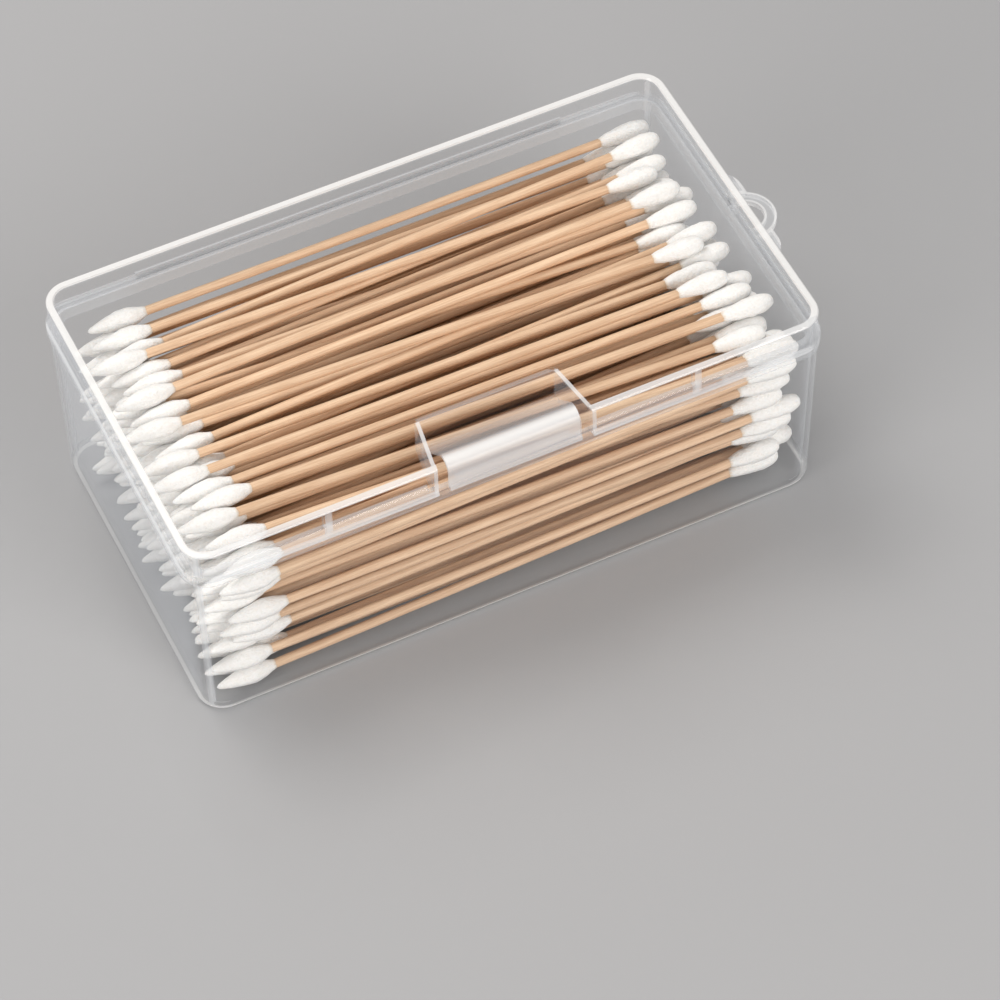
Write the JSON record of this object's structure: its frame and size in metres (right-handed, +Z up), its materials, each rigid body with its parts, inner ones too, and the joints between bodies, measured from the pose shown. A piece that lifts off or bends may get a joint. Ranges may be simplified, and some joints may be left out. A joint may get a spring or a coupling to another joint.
{
  "type": "cotton swab box",
  "caption": "Clear plastic box with a hinged snap lid, a latch tongue and a hanging loop, filled with long wooden-stick cotton swabs that have one pointed and one round tip.",
  "frame": {"origin": "middle of the underside of the box, on the surface it stands on", "axes": "+X along the swabs towards their round ends and the hanging loop, -Y the latch side, +Y the hinge side, +Z up"},
  "size_m": [0.1747, 0.0947, 0.0607],
  "materials": {
    "tray_plastic": "clear moulded plastic, thin and glossy",
    "lid_plastic": "clear moulded plastic with a frosted latch tongue",
    "hinge_plastic": "clear moulded plastic, thinned to a web",
    "birch": "plain turned birch, unvarnished",
    "cotton": "wound white cotton"
  },
  "bodies": {
    "base": {"base_tray": "tray_plastic", "living_hinge": "hinge_plastic", "pointed_tips_layer_01": "cotton", "pointed_tips_layer_02": "cotton", "pointed_tips_layer_03": "cotton", "pointed_tips_layer_04": "cotton", "pointed_tips_layer_05": "cotton", "pointed_tips_layer_06": "cotton", "pointed_tips_layer_07": "cotton", "pointed_tips_layer_08": "cotton", "pointed_tips_layer_09": "cotton", "pointed_tips_layer_10": "cotton", "round_tips_layer_01": "cotton", "round_tips_layer_02": "cotton", "round_tips_layer_03": "cotton", "round_tips_layer_04": "cotton", "round_tips_layer_05": "cotton", "round_tips_layer_06": "cotton", "round_tips_layer_07": "cotton", "round_tips_layer_08": "cotton", "round_tips_layer_09": "cotton", "round_tips_layer_10": "cotton", "sticks_layer_01": "birch", "sticks_layer_02": "birch", "sticks_layer_03": "birch", "sticks_layer_04": "birch", "sticks_layer_05": "birch", "sticks_layer_06": "birch", "sticks_layer_07": "birch", "sticks_layer_08": "birch", "sticks_layer_09": "birch", "sticks_layer_10": "birch"},
    "lid": {"lid": "lid_plastic"}
  },
  "joints": [
    {"name": "lid_hinge", "type": "hinge", "parent": "base", "child": "lid", "pos_m": [0, 0.04829, 0.05195], "axis": [-1, 0, 0], "range_deg": [0, 180], "deforming": ["living_hinge"]}
  ]
}
